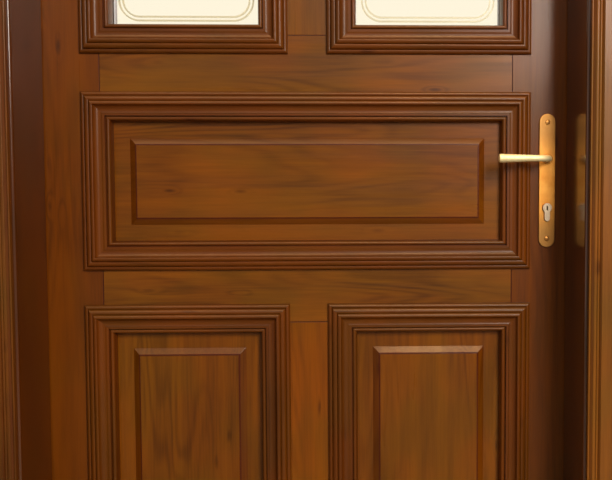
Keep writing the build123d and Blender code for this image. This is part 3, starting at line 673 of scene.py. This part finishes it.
class Section:
    """Points across a moulding and out from its ground, in millimetres, each with its share of staining and
    painted shade.
    """

    def __init__(self, edge):
        self.across = 0.0
        self.points = [(0.0, 0.0, FOOT_STAINING_AND_SHADE), (0.0, edge, EDGE_STAINING_AND_SHADE)]

    def bead(self, width, crest, end):
        """A round that stands up between two quirks."""
        start = self.points[-1][1]
        for side in range(1, BEAD_SIDES + 1):
            turn = math.pi * side / BEAD_SIDES
            ground = start + (end - start) * side / BEAD_SIDES
            rise = (crest - (start + end) / 2) * math.sin(turn)
            # Staining with painted shade, darkest in the quirks at the bead's feet
            staining_and_shade = (1 - math.sin(turn)) ** QUIRK_FADE
            self.points.append((self.across + width * (1 - math.cos(turn)) / 2, ground + rise, staining_and_shade))
        self.across += width

    def cove(self, width, steep, shallow):
        """A round hollow that falls steeply from the crown and turns up a little at its foot."""
        start = self.points[-1][1]
        steep, shallow = math.radians(steep), math.radians(shallow)
        radius = width / (math.sin(steep) - math.sin(shallow))
        for side in range(1, COVE_SIDES + 1):
            turn = steep + (shallow - steep) * side / COVE_SIDES
            across = self.across + radius * (math.sin(steep) - math.sin(turn))
            height = start - radius * (math.cos(turn) - math.cos(steep))
            # Painted shade under the crown, fading down the cove
            self.points.append((across, height, COVE_SHADE * (1 - side / COVE_SIDES) ** COVE_FADE))
        self.across += width

    def step(self, width, end, staining_and_shade=1.0):
        """A straight stretch to a new height."""
        self.across += width
        self.points.append((self.across, end, staining_and_shade))

    def drop(self, end, staining_and_shade=0.0):
        """A straight fall or rise at the same place."""
        self.points.append((self.across, end, staining_and_shade))


def moulding_section(leg_depth):
    """Down to the panel or the glass, and back over the edge of the framing."""
    section = Section(MOULDING_EDGE)
    section.bead(**OUTER_BEAD)
    section.bead(**SECOND_BEAD)
    section.bead(**CROWN_BEAD)
    section.cove(**COVE)
    section.drop(FILLET["end"])
    section.step(**FILLET)
    section.drop(DEEP_QUIRK["end"], staining_and_shade=1.0)
    section.step(**DEEP_QUIRK)
    section.bead(**INNER_BEAD)
    section.step(**INNER_FALL)
    # Staining with painted shade where the moulding meets the panel or the glass
    section.drop(-leg_depth, staining_and_shade=1.0)
    section.points += [(MOULDING_LAP, -leg_depth, 0.0), (MOULDING_LAP, 0.0, 0.0)]
    return section.points


def casing_section(width, thickness):
    """Three beads that rise away from the opening, then a flat face with an eased outer corner."""
    section = Section(CASING_EDGE)
    section.bead(**CASING_BEAD)
    section.step(**CASING_RISE)
    section.bead(**CASING_ROUND)
    section.bead(**CASING_SECOND_BEAD)
    section.step(**CASING_SLOPE)
    section.points += [(width - CASING_CORNER, thickness, 0.0), (width, thickness - CASING_CORNER, 0.0),
                       (width, 0.0, 0.0)]
    return section.points


def add_length(whole, points, start, end, across, out, mitres, material_index=0):
    """One straight length of a section, with a mitre or a square end at its start and at its end."""
    mesh = bmesh.new()
    # Each point's share of staining and painted shade
    staining_and_shade = mesh.verts.layers.float.new("staining_and_shade")
    run = (end - start).normalized()
    reach = max(point[0] for point in points) * MM
    first = start - run * (reach if mitres[0] else 0)
    last = end + run * (reach if mitres[1] else 0)
    ring = []
    for distance, height, share in points:
        corner = mesh.verts.new(first + across * distance * MM + out * height * MM)
        corner[staining_and_shade] = share
        ring.append(corner)
    face = mesh.faces.new(ring)
    grown = bmesh.ops.extrude_face_region(mesh, geom=[face])
    moved = [item for item in grown["geom"] if isinstance(item, bmesh.types.BMVert)]
    bmesh.ops.translate(mesh, verts=moved, vec=last - first)
    for mitre, corner, ahead in ((mitres[0], start, -run), (mitres[1], end, run)):
        if mitre:
            cut_away(mesh, corner, ahead + across * mitre)
    bmesh.ops.recalc_face_normals(mesh, faces=mesh.faces)
    for face in mesh.faces:
        face.material_index = material_index
    join_mesh(whole, mesh)


def bolection_ring(node):
    """Four mitred lengths round one opening, in the place of the node."""
    low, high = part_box(node)
    outside = "outer" in node
    ground = outer_face if outside else inner_face
    out = OUTSIDE if outside else INSIDE
    leg_depth = (high.y - ground if outside else ground - low.y) / MM
    points = moulding_section(leg_depth)
    round_opening = ((low.x, low.z), (high.x, low.z), (high.x, high.z), (low.x, high.z))
    corners = [Vector((x, ground, z)) for x, z in round_opening]
    whole = bmesh.new()
    for side, across in enumerate((Z, -X, -Z, X)):
        add_length(whole, points, corners[side], corners[(side + 1) % 4], across, out,
                   (INNER_MITRE, INNER_MITRE), UPRIGHT if side % 2 else LEVEL)
    piece = finish_mesh(f"{node}_run", whole, moulding_finishes, node)
    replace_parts(piece, node)


def casing_lengths(face):
    """Left, head and right casing of one face, mitred at the top."""
    left_low, left_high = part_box(f"casing_{face}_left")
    right_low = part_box(f"casing_{face}_right")[0]
    head_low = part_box(f"casing_{face}_head")[0]
    out = OUTSIDE if face == "outer" else INSIDE
    ground = left_high.y if face == "outer" else left_low.y
    thickness = (left_high.y - left_low.y) / MM
    points = casing_section((left_high.x - left_low.x) / MM, thickness)
    foot_left = Vector((left_high.x, ground, left_low.z))
    foot_right = Vector((right_low.x, ground, right_low.z))
    top_left = Vector((left_high.x, ground, head_low.z))
    top_right = Vector((right_low.x, ground, head_low.z))
    runs = {
        "left": (foot_left, top_left, -X, (SQUARE_END, OUTER_MITRE)),
        "head": (top_left, top_right, Z, (OUTER_MITRE, OUTER_MITRE)),
        "right": (foot_right, top_right, X, (SQUARE_END, OUTER_MITRE)),
    }
    for side, (start, end, across, mitres) in runs.items():
        node = f"casing_{face}_{side}"
        whole = bmesh.new()
        add_length(whole, points, start, end, across, out, mitres)
        piece = finish_mesh(f"{node}_run", whole, [casing_finish[side]], node)
        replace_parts(piece, node)


def bent_neck(root, out):
    """A round neck, straight out of the plate and then bent towards the grip."""
    mesh = bmesh.new()
    lying = Matrix.Translation(root) @ Matrix.Rotation(math.pi / 2, 4, "X")
    bmesh.ops.create_circle(mesh, cap_ends=False, segments=ROUND_STEPS, radius=NECK_RADIUS, matrix=lying)
    grown = bmesh.ops.extrude_edge_only(mesh, edges=mesh.edges[:])["geom"]
    rim = [item for item in grown if isinstance(item, (bmesh.types.BMVert, bmesh.types.BMEdge))]
    moved = [item for item in rim if isinstance(item, bmesh.types.BMVert)]
    bmesh.ops.translate(mesh, verts=moved, vec=out * NECK_STRAIGHT)
    bend_centre = root + out * NECK_STRAIGHT - X * NECK_BEND
    bmesh.ops.spin(mesh, geom=rim, cent=bend_centre, axis=Z, angle=math.pi / 2 * out.y,
                   steps=NECK_BEND_STEPS, use_merge=False)
    bmesh.ops.remove_doubles(mesh, verts=mesh.verts, dist=SPIN_MERGE_DISTANCE)
    bmesh.ops.holes_fill(mesh, edges=mesh.edges)
    bmesh.ops.recalc_face_normals(mesh, faces=mesh.faces)
    return mesh


def lever(node, face_y, out):
    """A round bent neck and a round tapered grip with a softened end."""
    low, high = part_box(node)
    tip_radius = (high.z - low.z) / 2
    grip_length = lever_axis.x - low.x
    swell = []
    for ring in range(GRIP_RINGS + 1):
        share = ring / GRIP_RINGS
        distance = NECK_BEND + (grip_length - TIP_ROUNDING - NECK_BEND) * share
        swell.append((distance, NECK_RADIUS + (tip_radius - NECK_RADIUS) * share))
    tip = rounding(grip_length - TIP_ROUNDING, tip_radius, TIP_ROUNDING, TIP_ROUNDING)
    profile = [(NECK_BEND, 0.0)] + swell + tip[1:] + [(grip_length, 0.0)]
    whole = spun(profile, Vector((lever_axis.x, face_y + out.y * STANDOFF, lever_axis.z)), -X)
    join_mesh(whole, bent_neck(Vector((lever_axis.x, face_y + out.y * NECK_ROOT, lever_axis.z)), out))
    piece = finish_mesh(f"{node}_turned", whole, [metals["lever_brass"]], node)
    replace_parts(piece, node)


def spindle_bar():
    """The square spindle, with its ends inside the straight parts of the two necks."""
    mesh = bmesh.new()
    mesh.from_mesh(nodes["spindle"].data)
    bmesh.ops.remove_doubles(mesh, verts=mesh.verts, dist=MERGE_DISTANCE)
    for vert in mesh.verts:
        vert.co.y = min(max(vert.co.y, outer_face - NECK_STRAIGHT), inner_face + NECK_STRAIGHT)
    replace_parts(finish_mesh("spindle_bar", mesh, [metals["lock_steel"]], "spindle"), "spindle")


def collar_ring(side, face_y, out):
    """The bushing round the lever's neck, dark with painted shade."""
    ground = Vector((lever_axis.x, face_y, lever_axis.z)) + out * PLATE_THICKNESS
    inner = NECK_RADIUS + COLLAR_GAP
    profile = [(0.0, inner), (0.0, COLLAR_RADIUS)]
    profile += rounding(COLLAR_RISE - COLLAR_ROUNDING, COLLAR_RADIUS, COLLAR_ROUNDING, COLLAR_ROUNDING,
                        sides=4)
    profile += [(COLLAR_RISE, inner + COLLAR_SLOPE["width"]), (COLLAR_RISE - COLLAR_SLOPE["depth"], inner),
                (0.0, inner)]
    finish_mesh(f"collar_{side}", spun(profile, ground, out), [metals["painted_shade_bronze"]], f"backplate_{side}")


def screw(name, head, out, radius, rise, slot_turn, material, node):
    """A domed screw head with a straight slot."""
    across_slot = Matrix.Rotation(slot_turn, 3, out) @ (Z if abs(out.x) > abs(out.y) else X)
    dome = [(0.0, 0.0)] + rounding(0.0, radius, rise, radius)
    whole = bmesh.new()
    for side in (across_slot, -across_slot):
        half = spun(dome, head, out, steps=SCREW_STEPS)
        cut_away(half, head + side * radius * SLOT_HALF_WIDTH, -side)
        bmesh.ops.recalc_face_normals(half, faces=half.faces)
        join_mesh(whole, half)
    edge, rim = (radius * share for share in SLOT_FLOOR_RADII)
    floor = [(0.0, 0.0), (0.0, edge), (rise * SLOT_FLOOR_RISE, rim), (rise * SLOT_FLOOR_RISE, 0.0)]
    join_mesh(whole, spun(floor, head, out, steps=SCREW_STEPS))
    finish_mesh(name, whole, [material], node)


def screw_shadow_ring(name, head, out, radius, node):
    """A dark ring of painted shade round a screw's head, where the countersink lies in shadow."""
    inner, outer = radius + SEAT_GAP, radius + SEAT_WIDTH
    profile = [(0.0, inner), (0.0, outer), (SEAT_RISE * SEAT_EDGE_SHARE, outer),
               (SEAT_RISE, inner + SEAT_LIP), (SEAT_RISE, inner), (0.0, inner)]
    finish_mesh(name, spun(profile, head, out, steps=SEAT_STEPS), [metals["painted_shade_bronze"]], node)


def plate_screws(side, face_y, out):
    """A screw in a countersink at each end of a backplate, ringed with painted countersink shadow."""
    node = f"backplate_{side}"
    for number, reach in enumerate((PLATE_SCREW_REACH, -PLATE_SCREW_REACH)):
        head = Vector((lever_axis.x, face_y, plate_middle + reach)) + out * PLATE_THICKNESS
        screw(f"plate_screw_{side}_{number}", head, out, **PLATE_SCREW, slot_turn=PLATE_SLOT_TURN + number,
              material=metals["plate_screw_brass"], node=node)
        screw_shadow_ring(f"plate_screw_seat_{side}_{number}", head, out, PLATE_SCREW["radius"], node)


def hinge_screws(owner, place, out):
    """Four flat screws in one wing of a hinge."""
    node = f"hinge_{owner}_wing_{place}"
    face_x = hinge_line.x - out.x * WING_GAP / 2
    edge_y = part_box(node)[0].y
    for number, reach in enumerate(HINGE_SCREW_HEIGHTS):
        head = Vector((face_x, edge_y + HINGE_SCREW_DEPTHS[number % 2], middle_of(node).z + reach))
        screw(f"hinge_screw_{owner}_{place}_{number}", head, out, **HINGE_SCREW,
              slot_turn=HINGE_SLOT_TURN + HINGE_SLOT_STEP * number, material=metals["screw_brass"], node=node)


def lock_screws():
    """Flat screws in the lock's face plate and in the strike plate."""
    low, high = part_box("lock_forend")
    heights = (low.z + FOREND_SCREW_INSET, CYLINDER_HEIGHT, high.z - FOREND_SCREW_INSET)
    for number, height in enumerate(heights):
        head = Vector((high.x, middle_of("lock_forend").y, height))
        screw(f"forend_screw_{number}", head, X, **LOCK_SCREW, slot_turn=FOREND_SLOT_TURN + number,
              material=metals["lock_steel"], node="lock_forend")
    low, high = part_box("strike_plate")
    for number, height in enumerate((low.z + STRIKE_SCREW_INSET, high.z - STRIKE_SCREW_INSET)):
        head = Vector((low.x, middle_of("strike_plate").y, height))
        screw(f"strike_screw_{number}", head, -X, **LOCK_SCREW, slot_turn=STRIKE_SLOT_TURN + number,
              material=metals["lock_steel"], node="strike_plate")


# Wood
for node, finish in board_finish.items():
    if node.startswith(("stile", "muntin")) or node.endswith("rail"):
        eased_copy(node, RAIL_EASING, [finish, joint_finish], crease=PLANE_ANGLE)
    elif node.startswith("jamb"):
        # The jambs' eased corners carry the painted highlight
        eased_copy(node, JAMB_EASING, [finish, edge_highlight_finish], crease=PLANE_ANGLE)
    else:
        eased_copy(node, PANEL_EASING, [finish], crease=PLANE_ANGLE)
for node in nodes:
    if node.startswith("moulding"):
        bolection_ring(node)
for face in ("outer", "inner"):
    casing_lengths(face)

# Glass and metal
for node in ("glass_left", "glass_right"):
    give_finish(node, etched_glass(node))
for node, slot in slot_of.items():
    if slot in slot_finishes and not node.startswith("lever"):
        give_finish(node, slot_finishes[slot])
for node in ("backplate_outer", "backplate_inner"):
    eased_copy(node, PLATE_EASING, [metals["plate_brass"]], segments=PLATE_EASING_SEGMENTS)
for node in ("cylinder_body", "cylinder_plug"):
    eased_copy(node, CYLINDER_EASING, [metals["cylinder_nickel"]])
spindle_bar()
for side, face_y, out in (("outer", outer_face, OUTSIDE), ("inner", inner_face, INSIDE)):
    lever(f"lever_{side}", face_y, out)
    collar_ring(side, face_y, out)
    plate_screws(side, face_y, out)
for place in ("bottom", "middle", "top"):
    hinge_screws("frame", place, X)
    hinge_screws("leaf", place, -X)
lock_screws()

# Stage: a pale room, its floor and its lamps
ROOM_COLOUR = srgb(255, 246, 222)
ROOM_LIGHT = 0.17
ROOM_SHINE = 0.34
FLOOR_COLOUR = srgb(194, 184, 164)
FLOOR_HALF = 14.0
FLOOR_DROP = 0.5 * MM
FLOOR_GLOW = (1.3, 6.5, 0.0, 0.9)
LAMPS = {
    "window_light": {"place": (1.3, -2.75, 2.2), "aim": (0.0, 0.0, 1.05), "size": (0.9, 1.2), "power": 80,
                     "colour": (1.0, 0.93, 0.82)},
    "ceiling_light": {"place": (0.45, -1.35, 2.75), "aim": (0.15, 0.0, 0.8), "size": (0.5, 0.45), "power": 18,
                      "colour": (1.0, 0.66, 0.3), "sheen_only": True},
    "ceiling_glow": {"place": (-0.1, -0.95, 2.8), "aim": (-0.05, -0.4, 0.8), "size": (2.2, 1.2), "power": 48,
                     "colour": (1.0, 0.7, 0.36), "sheen_only": True},
    "high_wall": {"place": (0.2, -3.0, 2.55), "aim": (0.1, 0.0, 1.2), "size": (3.2, 1.3), "power": 14,
                  "colour": (1.0, 0.95, 0.88)},
    "pale_wall": {"place": (1.12, -3.0, 1.28), "aim": (0.35, 0.0, 1.08), "size": (0.8, 0.6), "power": 0.8,
                  "colour": (1.0, 0.96, 0.88)},
    "far_wall": {"place": (-2.4, -1.6, 1.2), "aim": (0.4, 0.0, 1.0), "size": (3.0, 1.8), "power": 7,
                 "colour": (1.0, 0.9, 0.8), "sheen_only": True},
    "back_light": {"place": (1.2, 3.4, 3.0), "aim": (0.0, 0.0, 1.0), "size": (2.4, 2.4), "power": 90,
                   "colour": (1.0, 0.96, 0.9)},
}


def in_view(work):
    """1 where a thing is seen, also through the glass, and the room's shine in a reflection."""
    path = work.add("ShaderNodeLightPath").outputs
    seen = work.maths("MAXIMUM", path["Is Camera Ray"], path["Is Transmission Ray"])
    return work.maths("MAXIMUM", seen, work.maths("MULTIPLY", path["Is Glossy Ray"], ROOM_SHINE))


def add_floor():
    """A plain pale floor that fades into the room's colour far from the door."""
    mesh = bmesh.new()
    bmesh.ops.create_grid(mesh, x_segments=1, y_segments=1, size=FLOOR_HALF)
    data = bpy.data.meshes.new("floor")
    mesh.to_mesh(data)
    mesh.free()
    ground = Finish("floor")
    away = ground.vector_maths("LENGTH", ground.place)
    glow = ground.maths("MULTIPLY", in_view(ground), ground.spread(away, *FLOOR_GLOW, smooth=True))
    ground.set(Base_Color=FLOOR_COLOUR, Roughness=0.9, Specular_IOR_Level=0.1, Emission_Color=ROOM_COLOUR,
               Emission_Strength=glow)
    data.materials.append(ground.material)
    floor = bpy.data.objects.new("floor", data)
    floor.location.z = cad_low.z - FLOOR_DROP
    bpy.context.scene.collection.objects.link(floor)


def add_world():
    """A pale room: cream where it is seen, fainter in reflections, and an even soft light elsewhere."""
    world = bpy.data.worlds.new("room")
    world.use_nodes = True
    room = Nodes(world.node_tree)
    background = room.tree.nodes["Background"]
    room.feed(background.inputs["Color"], ROOM_COLOUR)
    room.feed(background.inputs["Strength"], room.maths("MAXIMUM", in_view(room), ROOM_LIGHT))
    bpy.context.scene.world = world


def add_lamps():
    """Soft lamps. Those for the sheen show only on the lacquer and the metal."""
    for name, lamp in LAMPS.items():
        data = bpy.data.lights.new(name, "AREA")
        data.shape = "RECTANGLE"
        data.size, data.size_y = lamp["size"]
        data.energy = lamp["power"]
        data.color = lamp["colour"]
        light = bpy.data.objects.new(name, data)
        towards = Vector(lamp["aim"]) - Vector(lamp["place"])
        light.location = lamp["place"]
        light.rotation_euler = towards.to_track_quat("-Z", "Y").to_euler()
        light.visible_camera = False
        light.visible_transmission = False
        light.visible_diffuse = not lamp.get("sheen_only")
        bpy.context.scene.collection.objects.link(light)


# Camera at the photograph's viewpoint
PICTURE_WIDTH = 612
FOCAL_LENGTH_PIXELS = 836
AXIS_FROM_CENTRE_PIXELS = 79.8
SENSOR_WIDTH_MM = 36
CAMERA_PLACE = Vector((0.0950, -1.5427, 0.9853))
CAMERA_YAW, CAMERA_PITCH, CAMERA_ROLL = math.radians(1.765), math.radians(-3.112), math.radians(-0.131)


def add_camera():
    """A camera that looks along +Y, turned a little right and down, with its picture cut left of the axis."""
    data = bpy.data.cameras.new("camera")
    data.sensor_width = SENSOR_WIDTH_MM
    data.lens = SENSOR_WIDTH_MM * FOCAL_LENGTH_PIXELS / PICTURE_WIDTH
    data.shift_x = -AXIS_FROM_CENTRE_PIXELS / PICTURE_WIDTH
    camera = bpy.data.objects.new("camera", data)
    camera.matrix_world = (
        Matrix.Translation(CAMERA_PLACE) @ Matrix.Rotation(-CAMERA_YAW, 4, "Z")
        @ Matrix.Rotation(math.pi / 2 + CAMERA_PITCH, 4, "X") @ Matrix.Rotation(CAMERA_ROLL, 4, "Z"))
    bpy.context.scene.collection.objects.link(camera)
    bpy.context.scene.camera = camera


add_floor()
add_world()
add_lamps()
add_camera()
bpy.context.scene.view_settings.view_transform = "Standard"
